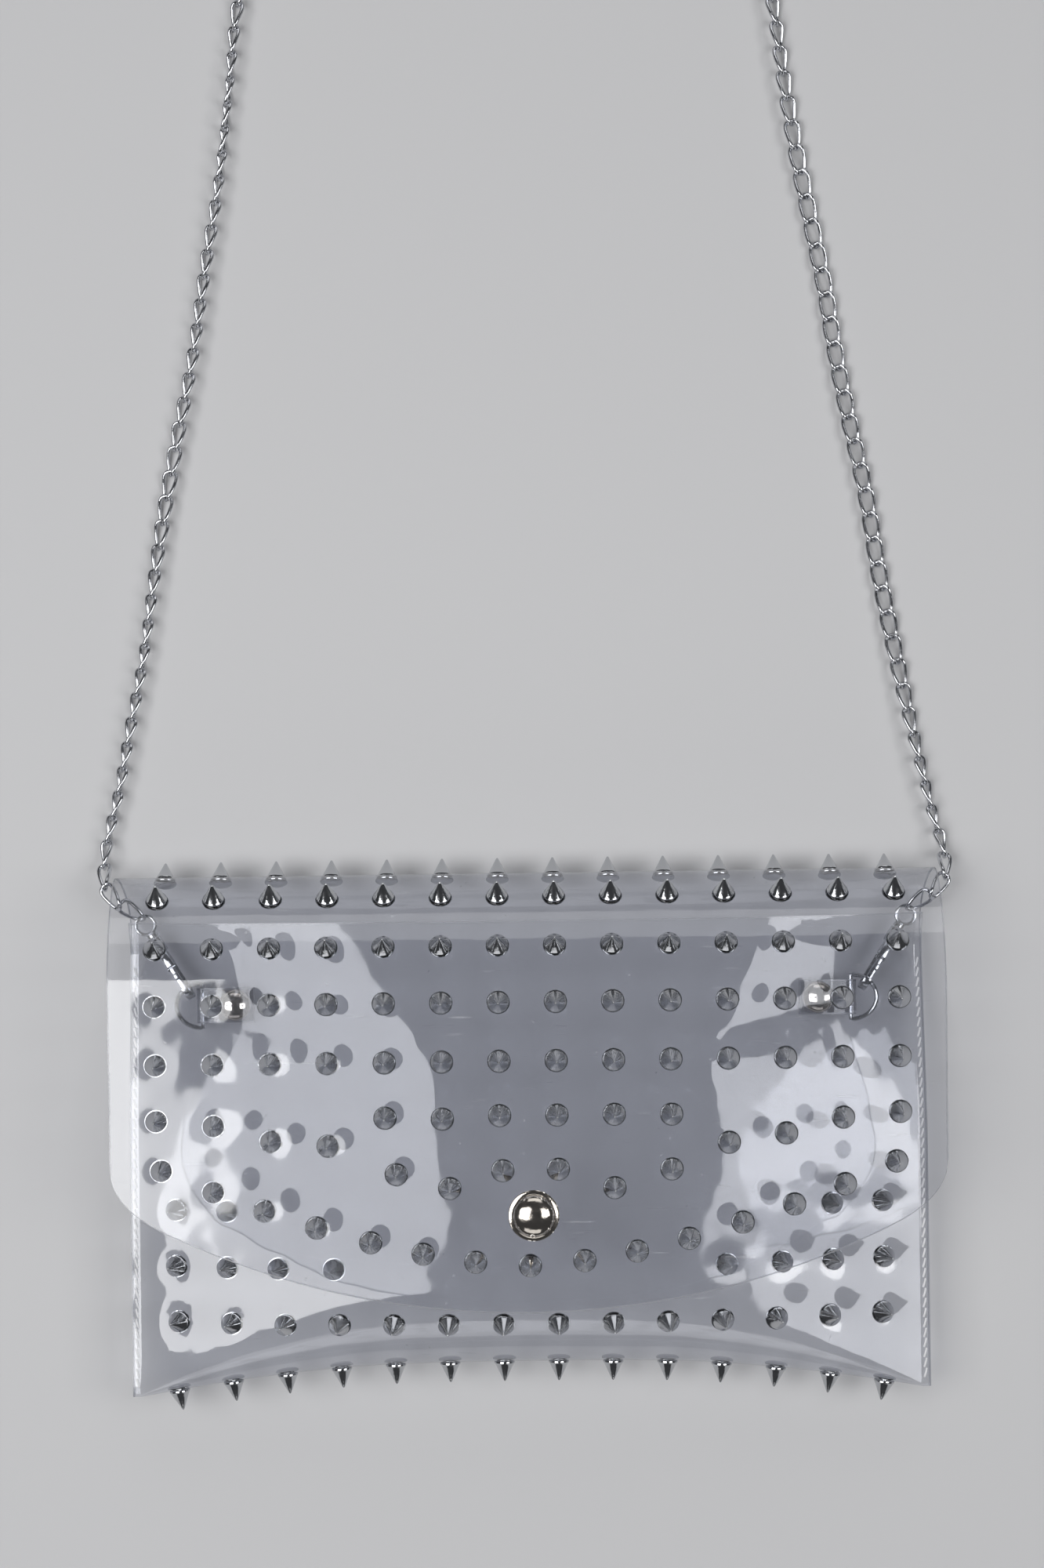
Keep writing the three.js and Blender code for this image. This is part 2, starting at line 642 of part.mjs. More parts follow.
for (const [label, route] of Object.entries({ left: chainLeft, right: chainRight })) {
  const path = new THREE.CatmullRomCurve3(
    route.map(([x, y, z]) => new THREE.Vector3(x, y, z)),
    false,
    'centripetal',
  );
  const tube = new THREE.ExtrudeGeometry(roundSection(CHAIN_RADIUS, CHAIN_SIDES), {
    steps: Math.round(path.getLength() / CHAIN_STEP) + 6,
    bevelEnabled: false,
    extrudePath: path,
  });
  add(`chain_run_${label}`, tube, metal(SILVER, 0.2));
}
const coilOutline = [
  [COIL.inner, 0.1], [COIL.outer, 0.1], [COIL.outer, COIL.height], [COIL.inner, COIL.height],
  [COIL.inner, 0.1],
];
add('chain_coil', turned(coilOutline, 32).translate(COIL.x, COIL.y, 0), metal(SILVER, 0.2));

export default bag;
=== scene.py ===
"""Clear studded clutch lying on its back with its flap snapped shut and its chain laid out.

Lengths are in millimetres in the CAD's own layout, with Y counted from the line through
the pocket's bottom corners. make() turns them into the row's metres.
"""

import math

import bmesh
import bpy
import numpy as np
from mathutils import Matrix, Vector


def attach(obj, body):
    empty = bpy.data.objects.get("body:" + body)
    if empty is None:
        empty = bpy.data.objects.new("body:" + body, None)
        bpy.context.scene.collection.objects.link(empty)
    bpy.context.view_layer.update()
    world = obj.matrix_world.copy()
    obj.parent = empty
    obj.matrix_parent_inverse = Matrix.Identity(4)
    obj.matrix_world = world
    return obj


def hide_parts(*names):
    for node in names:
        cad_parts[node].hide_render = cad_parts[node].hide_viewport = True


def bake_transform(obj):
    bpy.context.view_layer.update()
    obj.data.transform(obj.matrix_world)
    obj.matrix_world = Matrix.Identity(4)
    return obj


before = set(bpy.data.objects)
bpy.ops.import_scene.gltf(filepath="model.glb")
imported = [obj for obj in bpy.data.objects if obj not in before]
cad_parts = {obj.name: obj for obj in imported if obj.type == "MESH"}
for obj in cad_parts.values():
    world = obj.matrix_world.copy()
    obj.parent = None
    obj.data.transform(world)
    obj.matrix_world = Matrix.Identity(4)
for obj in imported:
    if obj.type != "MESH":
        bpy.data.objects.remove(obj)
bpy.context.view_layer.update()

MM = 0.001
CENTRE_Y = 79.7
SIDES = {"left": -1, "right": 1}


def row(point):
    """A layout point as the row's metres."""
    x, y, z = point
    return (x * MM, (y - CENTRE_Y) * MM, z * MM)


# ---- Camera: straight above, turned a little ----
CAMERA_HEIGHT = 1050
CAMERA_X, CAMERA_Y, CAMERA_TURN = -0.5, 183.3, -0.8
VIEW_HEIGHT = 478.6  # what the frame spans on the floor
SENSOR = 36  # its height
camera = bpy.data.objects.new("camera", bpy.data.cameras.new("camera"))
camera.data.sensor_fit = "VERTICAL"
camera.data.sensor_height = SENSOR
camera.data.lens = SENSOR * CAMERA_HEIGHT / VIEW_HEIGHT
camera.location = row((CAMERA_X, CAMERA_Y, CAMERA_HEIGHT))
camera.rotation_euler = (0, 0, math.radians(CAMERA_TURN))
bpy.context.collection.objects.link(camera)
bpy.context.scene.camera = camera


# ---- Meshes ----
def make(name, shapes, materials, sharp=35):
    """One object from (points, faces) shapes. A shape may add a material number for each face."""
    points, faces, slots = [], [], []
    for shape in shapes:
        base = len(points)
        points.extend(row(p) for p in shape[0])
        faces.extend([base + i for i in face] for face in shape[1])
        slots.extend(shape[2] if len(shape) > 2 else [0] * len(shape[1]))
    mesh = bpy.data.meshes.new(name)
    mesh.from_pydata(points, [], faces)
    for material in materials:
        mesh.materials.append(material)
    mesh.polygons.foreach_set("material_index", slots)
    mesh.shade_smooth()
    mesh.set_sharp_from_angle(angle=math.radians(sharp))
    thing = bpy.data.objects.new(name, mesh)
    bpy.context.collection.objects.link(thing)
    return thing


def moved(shape, matrix):
    """The shape put through a matrix."""
    turn = np.array(matrix.to_3x3())
    points = np.asarray(shape[0], float) @ turn.T + np.array(matrix.translation)
    return (points, *shape[1:])


def lathe(outline, sides=32):
    """Outline of (radius, height) pairs turned round Z."""
    points, faces, rings = [], [], []
    for radius, height in outline:
        first = len(points)
        count = sides if radius > 0 else 1
        rings.append(range(first, first + count))
        for k in range(count):
            angle = 2 * math.pi * k / sides
            points.append((radius * math.cos(angle), radius * math.sin(angle), height))
    for low, high in zip(rings, rings[1:]):
        for k in range(sides):
            corners = [low[k % len(low)], low[(k + 1) % len(low)]]
            corners += [high[(k + 1) % len(high)], high[k % len(high)]]
            face = list(dict.fromkeys(corners))
            if len(face) > 2:
                faces.append(face)
    return points, faces


def tube(path, radius, sides=8, closed=False):
    """A round wire along the path."""
    path = np.asarray(path, float)
    if closed:
        ahead, behind = np.roll(path, -1, axis=0), np.roll(path, 1, axis=0)
        along = ahead - behind
    else:
        along = np.gradient(path, axis=0)
    along /= np.linalg.norm(along, axis=1)[:, None]
    side = np.cross(along[0], (0.0, 0.0, 1.0))
    if np.linalg.norm(side) < 0.1:
        side = np.cross(along[0], (0.0, 1.0, 0.0))
    points, faces = [], []
    for centre, direction in zip(path, along):
        side = side - direction * side.dot(direction)
        side /= np.linalg.norm(side)
        other = np.cross(direction, side)
        for k in range(sides):
            angle = 2 * math.pi * k / sides
            points.append(centre + radius * (math.cos(angle) * side + math.sin(angle) * other))
    count = len(path)
    for i in range(count if closed else count - 1):
        low, high = i * sides, (i + 1) % count * sides
        for k in range(sides):
            nxt = (k + 1) % sides
            faces.append([low + k, low + nxt, high + nxt, high + k])
    if not closed:
        faces.append(list(range(sides))[::-1])
        faces.append([(count - 1) * sides + k for k in range(sides)])
    return points, faces


def slab(outline, thickness, bevel=0.0):
    """An outline of (x, z) pairs with its thickness along Y, its edges rounded."""
    bm = bmesh.new()
    back = [bm.verts.new((x, thickness / 2, z)) for x, z in outline]
    face = bm.faces.new(back)
    grown = bmesh.ops.extrude_face_region(bm, geom=[face])["geom"]
    shifted = [item for item in grown if isinstance(item, bmesh.types.BMVert)]
    bmesh.ops.translate(bm, verts=shifted, vec=(0, -thickness, 0))
    bmesh.ops.recalc_face_normals(bm, faces=bm.faces)
    if bevel:
        rims = [e for e in bm.edges if abs(e.verts[0].co.y - e.verts[1].co.y) < 1e-6]
        bmesh.ops.bevel(bm, geom=rims, offset=bevel, segments=2, affect="EDGES", profile=0.5)
    bm.verts.index_update()
    shape = [tuple(v.co) for v in bm.verts], [[v.index for v in f.verts] for f in bm.faces]
    bm.free()
    return shape


def arc(centre, radius, start, end, count):
    """Points round a centre from one angle in degrees to another."""
    angles = np.radians(np.linspace(start, end, count))
    return [(centre[0] + radius * math.cos(a), centre[1] + radius * math.sin(a)) for a in angles]


def film(grid, thickness, joined_row=None):
    """A thin sheet: its outer face from a grid of points, and its cut edges as material 1.

    The grid's narrow outermost rows and columns are its edges. It may run on into another
    sheet at joined_row, which is "first" or "last".
    """
    grid = np.asarray(grid, float)
    normal = np.cross(np.gradient(grid, axis=1), np.gradient(grid, axis=0))
    normal /= np.linalg.norm(normal, axis=2)[:, :, None]
    inner = grid - thickness * normal
    rows, columns = grid.shape[:2]
    points = grid.reshape(-1, 3).tolist()
    faces, slots = [], []
    cut_rows = [at for at, end in ((0, "first"), (rows - 2, "last")) if end != joined_row]
    for j in range(rows - 1):
        for i in range(columns - 1):
            a = j * columns + i
            faces.append([a, a + 1, a + columns + 1, a + columns])
            slots.append(int(j in cut_rows or i in (0, columns - 2)))
    borders = [(grid[::-1, 0], inner[::-1, 0]), (grid[:, -1], inner[:, -1])]
    if joined_row != "first":
        borders.append((grid[0], inner[0]))
    if joined_row != "last":
        borders.append((grid[-1, ::-1], inner[-1, ::-1]))
    for outer, under in borders:
        base, count = len(points), len(outer)
        points += outer.tolist() + under.tolist()
        for i in range(count - 1):
            a = base + i
            faces.append([a, a + count, a + count + 1, a + 1])
            slots.append(1)
    return points, faces, slots


def standing(point, normal, spin=0.0):
    """A matrix that stands a shape's Z on a surface."""
    turn = Vector((0, 0, 1)).rotation_difference(Vector(normal)).to_matrix().to_4x4()
    return Matrix.Translation(Vector(point)) @ turn @ Matrix.Rotation(spin, 4, "Z")


def crossing(value, target, low, high):
    """Where a rising value reaches the target."""
    for _ in range(40):
        middle = (low + high) / 2
        low, high = (middle, high) if value(middle) < target else (low, middle)
    return middle


# ---- Materials ----
SCUFF = 0.22  # how hazy a scratch or a speck is
VINYL_REFLECTANCE = 0.085  # seen straight on
VINYL_EDGE_ON = 0.9  # added to that at a grazing angle


def principled(name, **values):
    """A material with these inputs set."""
    material = bpy.data.materials.new(name)
    material.use_nodes = True
    shader = material.node_tree.nodes["Principled BSDF"]
    for key, value in values.items():
        shader.inputs[key.replace("_", " ")].default_value = value
    return material


def noise(tree, scale, detail, stretch=(1, 1, 1), turn=0.0):
    """Noise with about scale features to the metre, which may be drawn out and turned."""
    where = tree.nodes.new("ShaderNodeTexCoord")
    mapping = tree.nodes.new("ShaderNodeMapping")
    mapping.inputs["Rotation"].default_value = (0, 0, turn)
    mapping.inputs["Scale"].default_value = stretch
    texture = tree.nodes.new("ShaderNodeTexNoise")
    texture.inputs["Scale"].default_value = scale
    texture.inputs["Detail"].default_value = detail
    tree.links.new(where.outputs["Object"], mapping.inputs["Vector"])
    tree.links.new(mapping.outputs[0], texture.inputs["Vector"])
    return texture.outputs["Fac"]


def ranged(tree, value, low, high, start=0.35, end=0.65):
    """value, with start to end spread over low to high."""
    spread_out = tree.nodes.new("ShaderNodeMapRange")
    for key, number in (("From Min", start), ("From Max", end), ("To Min", low), ("To Max", high)):
        spread_out.inputs[key].default_value = number
    tree.links.new(value, spread_out.inputs["Value"])
    return spread_out.outputs[0]


def bumped(tree, height, distance, strength):
    """A normal that follows a height of so many metres."""
    bump = tree.nodes.new("ShaderNodeBump")
    bump.inputs["Distance"].default_value = distance
    bump.inputs["Strength"].default_value = strength
    tree.links.new(height, bump.inputs["Height"])
    return bump.outputs[0]


def metal(name, color, roughness):
    """Plated metal, polished unevenly and with a fine hammering from the tumbler."""
    material = principled(name, Base_Color=(*color, 1), Metallic=1.0)
    tree = material.node_tree
    shader = tree.nodes["Principled BSDF"]
    rubbed = ranged(tree, noise(tree, 420, 4), 0.7 * roughness, 1.7 * roughness)
    tree.links.new(rubbed, shader.inputs["Roughness"])
    dinted = bumped(tree, noise(tree, 900, 3), 0.00006, 0.6)
    tree.links.new(dinted, shader.inputs["Normal"])
    return material


def vinyl(name, tint, roughness, haze_and_painted_shade, milk_and_shade_tone):
    """Clear sheet: it reflects by angle, lets the rest through and is faintly hazy.

    Facing is the same on both sides of a face, which the Fresnel node's output isn't.
    Rub marks and scuffs are hazier, and the sheet waves a little. A strong haze with a dark milk tone is
    painted shade, as on the cut edges.
    """
    material = bpy.data.materials.new(name)
    material.use_nodes = True
    tree = material.node_tree
    tree.nodes.clear()
    add, link = tree.nodes.new, tree.links.new
    clear = add("ShaderNodeBsdfTransparent")
    clear.inputs["Color"].default_value = (*tint, 1)
    milk_and_shade = add("ShaderNodeBsdfDiffuse")
    milk_and_shade.inputs["Color"].default_value = (milk_and_shade_tone, milk_and_shade_tone, 1.04 * milk_and_shade_tone, 1)
    body = add("ShaderNodeMixShader")
    scratches = ranged(tree, noise(tree, 55, 3, (1, 14, 1), 0.5), 0, SCUFF, 0.70, 0.78)
    specks = ranged(tree, noise(tree, 420, 1), 0, SCUFF, 0.79, 0.82)
    marks = add("ShaderNodeMath")
    marks.operation = "MAXIMUM"
    link(scratches, marks.inputs[0])
    link(specks, marks.inputs[1])
    haze_and_shade_amount = add("ShaderNodeMath")
    haze_and_shade_amount.operation = "ADD"
    haze_and_shade_amount.inputs[1].default_value = haze_and_painted_shade
    link(marks.outputs[0], haze_and_shade_amount.inputs[0])
    link(haze_and_shade_amount.outputs[0], body.inputs["Fac"])
    link(clear.outputs[0], body.inputs[1])
    link(milk_and_shade.outputs[0], body.inputs[2])
    waves = bumped(tree, noise(tree, 38, 2), 0.0007, 0.5)
    link(waves, milk_and_shade.inputs["Normal"])
    gloss = add("ShaderNodeBsdfGlossy")
    link(ranged(tree, noise(tree, 24, 3), 0.6 * roughness, 1.6 * roughness), gloss.inputs["Roughness"])
    link(waves, gloss.inputs["Normal"])
    facing = add("ShaderNodeLayerWeight")
    facing.inputs["Blend"].default_value = 0.5
    steep = add("ShaderNodeMath")
    steep.operation = "POWER"
    steep.inputs[1].default_value = 5
    link(facing.outputs["Facing"], steep.inputs[0])
    amount = add("ShaderNodeMath")
    amount.operation = "MULTIPLY_ADD"
    amount.inputs[1].default_value = VINYL_EDGE_ON
    amount.inputs[2].default_value = VINYL_REFLECTANCE
    link(steep.outputs[0], amount.inputs[0])
    whole = add("ShaderNodeMixShader")
    link(amount.outputs[0], whole.inputs["Fac"])
    link(body.outputs[0], whole.inputs[1])
    link(gloss.outputs[0], whole.inputs[2])
    link(whole.outputs[0], add("ShaderNodeOutputMaterial").inputs["Surface"])
    return material


def cotton(name, color):
    """Sewing thread, with the bumps of its twist."""
    material = principled(name, Base_Color=(*color, 1), Roughness=0.75)
    tree = material.node_tree
    twist = bumped(tree, noise(tree, 2600, 2, (1, 3, 1), 0.6), 0.0003, 0.7)
    tree.links.new(twist, tree.nodes["Principled BSDF"].inputs["Normal"])
    return material


clear_vinyl = vinyl("clear_vinyl_look", (0.925, 0.932, 0.955), 0.045, haze_and_painted_shade=0.008, milk_and_shade_tone=0.9)
# Cut edges: a darker tint and a grey haze over half the shader. This is painted shade for the dark line
# that a clear cut edge shows where it bends the light.
vinyl_edge_painted_shade = vinyl("vinyl_edge_look", (0.7, 0.73, 0.8), 0.15, haze_and_painted_shade=0.5, milk_and_shade_tone=0.42)
silver = metal("polished_silver_look", (0.54, 0.55, 0.57), 0.09)
nickel = metal("nickel_look", (0.62, 0.575, 0.52), 0.10)
hook_metal = metal("hook_metal_look", (0.60, 0.61, 0.63), 0.16)
chain_metal = metal("chain_metal_look", (0.60, 0.61, 0.64), 0.14)
thread = cotton("thread_look", (0.93, 0.93, 0.95))


# ---- Shape of the filled pocket ----
POCKET_HALF, STITCH_X, MOUTH_Y = 120, 117.5, 143
FOLD_START_Y = 139
FLAP_HALF = 123
SHEET = 0.5
STACK = 1.9  # front over back at the seams
FILLED = 37  # the front's height at its middle


def ease(t, low=0.0, high=1.0):
    """0 to 1 as t goes from low to high, slow at both ends."""
    t = np.clip((t - low) / (high - low), 0, 1)
    return t * t * (3 - 2 * t)


def seam_height(y):
    """The side seams sink towards the mouth."""
    return 14 - 10 * ease(y, 70, MOUTH_Y)


def back_height(x, y):
    """The back is flat in the middle and lifts to the seams."""
    out = np.clip((np.abs(x) - 40) / (STITCH_X - 40), 0, 1)
    return seam_height(y) * out**1.6


PRESS_DEPTH, PRESS_REACH = 0.3, 3.4  # of the dimple round a stud


def pressed(x, y, places):
    """How deep studs at the places have pulled the sheet in."""
    near = np.hypot(places[:, 0] - x, places[:, 1] - y) / PRESS_REACH
    return PRESS_DEPTH * np.exp(-(near**2)).sum()


def across(pitch):
    """The x of fourteen studs this far apart."""
    return [(k - 6.5) * pitch for k in range(14)]


column_x = across(16.8)
row_3_y = [85.8, 84.2, 79.5, 78, 86, 85.5, 86.3, 86.2, 86.2, 86, 77.5, 80, 84.4, 85.8]
row_4 = [(-38.9, 69.4), (-23.3, 65.1), (-7.7, 70.1), (8.6, 70.3), (25.1, 64.6), (41.9, 69.9)]
edge_x = (0, 16, 31.4, 46.7, 62.5, 77.7, 92.7, 107.9)
flap_rows = {
    "row_1": [(x, 119.5) for x in column_x],
    "row_2": [(x, 102.2) for x in column_x],
    "row_3": list(zip(column_x, row_3_y)),
    "row_4": row_4,
    "edge": [(x, 42 + 0.0142 * abs(x) ** 1.63) for x in sorted({s * x for x in edge_x for s in (-1, 1)})],
}
flap_presses = np.array([place for places in flap_rows.values() for place in places])
panel_rows = {
    "upper_left": [(-106, 57.1), (-90.4, 57.1)],
    "upper_right": [(90.4, 57.1), (106, 57.1)],
    "middle_left": [(x, 40.3) for x in (-106.2, -90.5, -75, -58.3)],
    "middle_right": [(x, 40.3) for x in (58.3, 75, 90.5, 106.2)],
    "lower": [(x, 23.7) for x in across(16.25)],
}
panel_presses = np.array([place for places in panel_rows.values() for place in places])


def front_height(x, y):
    """The filled front, with its ripples and the dimples round its studs."""
    out = np.minimum(np.abs(x) / STITCH_X, 1)
    up = ease(y, 95, MOUTH_Y)
    edge = seam_height(y) + STACK + 5.5 * ease(y, 133, MOUTH_Y)
    crest = FILLED - 6 * up
    ripple = 0.45 * np.sin(x / 21 + y / 34 + 0.6) + 0.35 * np.sin(y / 17 - x / 40)
    ripple = ripple * (1 - out**2) * ease(y, 35, 70)
    dimple = pressed(x, y, panel_presses)
    return edge + (crest - edge) * (1 - out ** (2.1 + 2.9 * up)) + ripple - dimple


def bottom_fold(x):
    """The fold's set-back at x, its middle height, half its thickness and its front's reach."""
    low, high = back_height(x, 0), front_height(x, 0)
    thick = high - low
    return 0.285 * thick, (low + high) / 2, thick / 2, 0.675 * thick


def pocket_skin(x, v):
    """v runs from -2 at the back's top edge, by -1 and 1 at the ends of the fold, to 2."""
    edge, middle, half, reach = bottom_fold(x)
    if v < -1:
        y = edge + half + (FOLD_START_Y - edge - half) * (-1 - v)
        return np.array((x, y, back_height(x, y)))
    turn = min(v, 1) * math.pi / 2
    y = edge + (half if v < 0 else reach) * (1 - math.cos(turn))
    if v <= 1:
        return np.array((x, y, middle + half * math.sin(turn)))
    y += (MOUTH_Y - y) * (v - 1)
    return np.array((x, y, front_height(x, y)))


FOLD_BENDS = ((17.7, 180, 96.5), (17, 96.5, 50), (43, 50, 1))  # radius, from and to an angle
FOLD_LENGTH = sum(r * math.radians(a - b) for r, a, b in FOLD_BENDS)
CREST_DISTANCE = FOLD_BENDS[0][0] * math.radians(FOLD_BENDS[0][1] - FOLD_BENDS[0][2])


def fold_profile(distance):
    """The (y, z) at a length along the top fold, or straight on beyond it."""
    y, z, left = FOLD_START_Y, 0.0, distance
    for radius, start, end in FOLD_BENDS:
        start, end = math.radians(start), math.radians(end)
        turn = min(max(left / radius, 0), start - end)
        y -= radius * (math.sin(start) - math.sin(start - turn))
        z += radius * (math.cos(start - turn) - math.cos(start))
        left -= turn * radius
        if left <= 1e-9:
            return y, z
    return y - left * math.cos(end), z - left * math.sin(end)


FLAP_TOP_Y, FLAP_TOP_Z = fold_profile(FOLD_LENGTH)
CREST_Z = fold_profile(CREST_DISTANCE)[1]


def flap_skin(x, distance):
    """x on the flap and the length along the sheet from the back's top edge."""
    narrow = POCKET_HALF + (FLAP_HALF - POCKET_HALF) * ease(distance, 0, 30)
    x_there = x * narrow / FLAP_HALF
    y, z = fold_profile(distance)
    z += back_height(x_there, FOLD_START_Y) * max(1 - z / CREST_Z, 0)
    down = ease(distance, 55, 110)
    ripple = 0.3 * np.sin(x / 19 + 1.1 + distance / 60) + 0.3 * np.sin(distance / 14 + x / 50)
    side = (abs(x) / FLAP_HALF) ** 4
    dimple = pressed(x, y, flap_presses)
    return np.array((x_there, y, z + down * (ripple * 0.8 - 1.2 * side) - dimple))


FLAP_TIP_Y, FLAP_EDGE_RADIUS = 28.1, 243
FLAP_CORNER_X = 109  # where the arc of the lower edge turns up into the corner


def flap_end(x):
    """The flap's lower edge."""
    x = abs(x)
    reach = min(x, FLAP_CORNER_X)
    arc_y = FLAP_TIP_Y + FLAP_EDGE_RADIUS - math.sqrt(FLAP_EDGE_RADIUS**2 - reach * reach)
    if x <= FLAP_CORNER_X:
        return arc_y
    t = 1 - math.sqrt(max(1 - (x - FLAP_CORNER_X) / (FLAP_HALF - FLAP_CORNER_X), 0))
    return (1 - t) ** 2 * arc_y + 2 * t * (1 - t) * 61.5 + t * t * 72


def flap_distance(y):
    """The length along the sheet at a place on the flap."""
    return FOLD_LENGTH + (FLAP_TOP_Y - y)


def surface(skin, a, b):
    """The point and outward normal of a skin."""
    step = 0.05
    sideways = skin(a + step, b) - skin(a - step, b)
    scale = 1e-3 if skin is pocket_skin else step
    along = skin(a, b + scale) - skin(a, b - scale)
    normal = np.cross(sideways, along) * (-1 if skin is flap_skin else 1)
    return skin(a, b), normal / np.linalg.norm(normal)


# ---- Sheets ----
def spread(edge, count):
    """Columns across, closer together towards the sides."""
    t = np.linspace(-1, 1, count)
    return edge * np.sin(t * math.pi / 2 * 0.85) / math.sin(math.pi / 2 * 0.85)


RIM = 0.45  # width of the line that a cut edge shows
pocket_rows = np.concatenate([
    np.linspace(-2, -1, 34, endpoint=False),
    np.linspace(-1, 1, 28, endpoint=False),
    np.linspace(1, 2 - RIM / 120, 56),
    [2],
])
rims = (-POCKET_HALF, -STITCH_X, STITCH_X, POCKET_HALF)
pocket_columns = np.sort(np.concatenate([spread(POCKET_HALF - RIM, 110), rims]))
pocket_grid = [[pocket_skin(x, v) for x in pocket_columns] for v in pocket_rows]
pocket = make("pocket_sheet", [film(pocket_grid, SHEET, "first")], [clear_vinyl, vinyl_edge_painted_shade], 80)
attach(pocket, "root")
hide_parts("back_panel", "front_panel")

flap_columns = np.concatenate([[-FLAP_HALF], spread(FLAP_HALF - RIM, 121), [FLAP_HALF]])
flap_steps = np.concatenate([
    np.linspace(0, 1, 46, endpoint=False),
    np.linspace(1, 2 - RIM / 80, 50),
    [2],
])
flap_grid = []
for v in flap_steps:
    line = []
    for x in flap_columns:
        if v <= 1:
            line.append(flap_skin(x, v * FOLD_LENGTH))
        else:
            line.append(flap_skin(x, FOLD_LENGTH + (v - 1) * (FLAP_TOP_Y - flap_end(x))))
    flap_grid.append(line)
flap_grid = np.array(flap_grid)[::-1]
flap = make("flap_and_fold", [film(flap_grid, SHEET, "last")], [clear_vinyl, vinyl_edge_painted_shade], 80)
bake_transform(flap)
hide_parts("top_fold", "flap_sheet")

# ---- Stitching ----
STITCH_COUNT, STITCH_STEP, STITCH_LENGTH, FIRST_STITCH_Y = 42, 3.0, 2.5, 3.5
STITCH_SLANT, THREAD_RADIUS = 0.7, 0.3
for label, side in SIDES.items():
    stitches = []
    x = side * (STITCH_X + 0.9)
    for k in range(STITCH_COUNT):
        dash = []
        for t in np.linspace(0, 1, 7):
            y = FIRST_STITCH_Y + k * STITCH_STEP + STITCH_LENGTH * t
            lift = 0.5 * (0.55 - 0.95 * (2 * t - 1) ** 4)  # the ends go down into the sheet
            dash.append((x + side * STITCH_SLANT * (t - 0.5), y, front_height(x, y) + lift))
        stitches.append(tube(dash, THREAD_RADIUS))
    seam = make(f"stitches_{label}", stitches, [thread])
    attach(seam, "root")
    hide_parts(f"side_stitch_{label}")

# ---- Cone studs ----
STUD_CONE = [
    (0, -0.6), (0.9, -0.6), (0.9, 0), (3.05, 0), (3.1, 0.15), (3.1, 0.5), (2.95, 0.7),
    (2.8, 0.85), (0.42, 5.75), (0.28, 6.0), (0.12, 6.12), (0, 6.15),
]
STUD_BACK = [(0, -1.5), (1.6, -1.5), (2.9, -1.3), (3.4, -1.0), (3.5, -0.75), (3.4, -0.55), (0, -0.55)]
stud_shapes = (lathe(STUD_CONE, 28), lathe(STUD_BACK, 24))
BLEND_SPAN = 0.4  # metres that a fold row's unused blend start is set back by


def stud_row(node, places, body="root", share=None):
    """Studs at (point, normal) places. With share, the row is baked where it stands and tied to no body;
    share only sets a blend start that nothing uses.
    """
    shapes = []
    for k, (point, normal) in enumerate(places):
        matrix = standing(point, normal, spin=k * 0.7)
        shapes += [moved(shape, matrix) for shape in stud_shapes]
    thing = make(f"{node}_look", shapes, [silver], 30)
    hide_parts(node)
    if share is None:
        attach(thing, body)
        return
    # Where a long blend would start is worked out, but nothing uses it and no blend is made.
    centre = Vector(row(np.mean([p for p, _ in places], axis=0)))
    direction = Vector((0, -places[0][1][2], places[0][1][1])).normalized()
    start = centre - direction * BLEND_SPAN * crossing(ease, share, 0.0, 1.0)
    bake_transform(thing)


# Each row's length along the sheet from the crest, and about the sheet's own share there.
for node, step, share in (("back", -5, 0.017), ("crest", 17.25, 0.512), ("front", 34.4, 0.904)):
    places = [surface(flap_skin, x, CREST_DISTANCE + step) for x in column_x]
    stud_row(f"fold_studs_{node}", places, share=share)


def on_flap(points):
    """Places on the flap, from their x and y."""
    return [surface(flap_skin, x, flap_distance(y)) for x, y in points]


for node, points in flap_rows.items():
    stud_row(f"flap_studs_{node}", on_flap(points), "flap")


def on_pocket(points):
    """Places on the pocket's front, from their x and y."""
    found = []
    for x, y in points:
        v = crossing(lambda v: pocket_skin(x, v)[1], y, 0.0, 2.0)
        found.append(surface(pocket_skin, x, v))
    return found


for node, points in panel_rows.items():
    stud_row(f"panel_studs_{node}", on_pocket(points))
stud_row("panel_studs_bottom", [surface(pocket_skin, x, 0) for x in across(16.3)])

# ---- Press snap ----
SNAP_X, SNAP_Y = 1.2, 56.9
snap_flap = flap_skin(SNAP_X, flap_distance(SNAP_Y))
snap_front = front_height(SNAP_X, SNAP_Y)
CAP = [(0, -1.3), (1.4, -1.3), (1.4, 0.1), (7.3, 0.1), (7.5, 0.3), (7.5, 0.55), (7.3, 0.75)]
CAP += [(6.6, 0.85), (6.35, 1.0), (6.2, 1.3)]
CAP += [(6.2 * math.cos(a), 1.3 + 2.9 * math.sin(a)) for a in np.linspace(0.15, 1.45, 12)]
CAP += [(0, 4.2)]
SOCKET = [(2.0, -0.6), (2.0, -1.3), (2.6, -1.4), (2.6, -3.6), (4.0, -3.8), (4.4, -3.5)]
SOCKET += [(4.6, -2.6), (5.2, -2.2), (5.3, -0.8), (5.0, -0.6), (2.0, -0.6)]
STUD = [(0, -1.6), (1.5, -1.6), (1.5, 0.05), (5.8, 0.05), (6, 0.3), (5.7, 0.6), (3.2, 0.8)]
STUD += [(2.1, 1.0), (1.9, 1.3), (2.2, 2.6), (1.9, 3.1), (1.2, 3.3), (0, 3.3)]
RING = [(1.8, -1.25), (5.6, -1.25), (6, -0.95), (5.8, -0.65), (1.8, -0.65), (1.8, -1.25)]
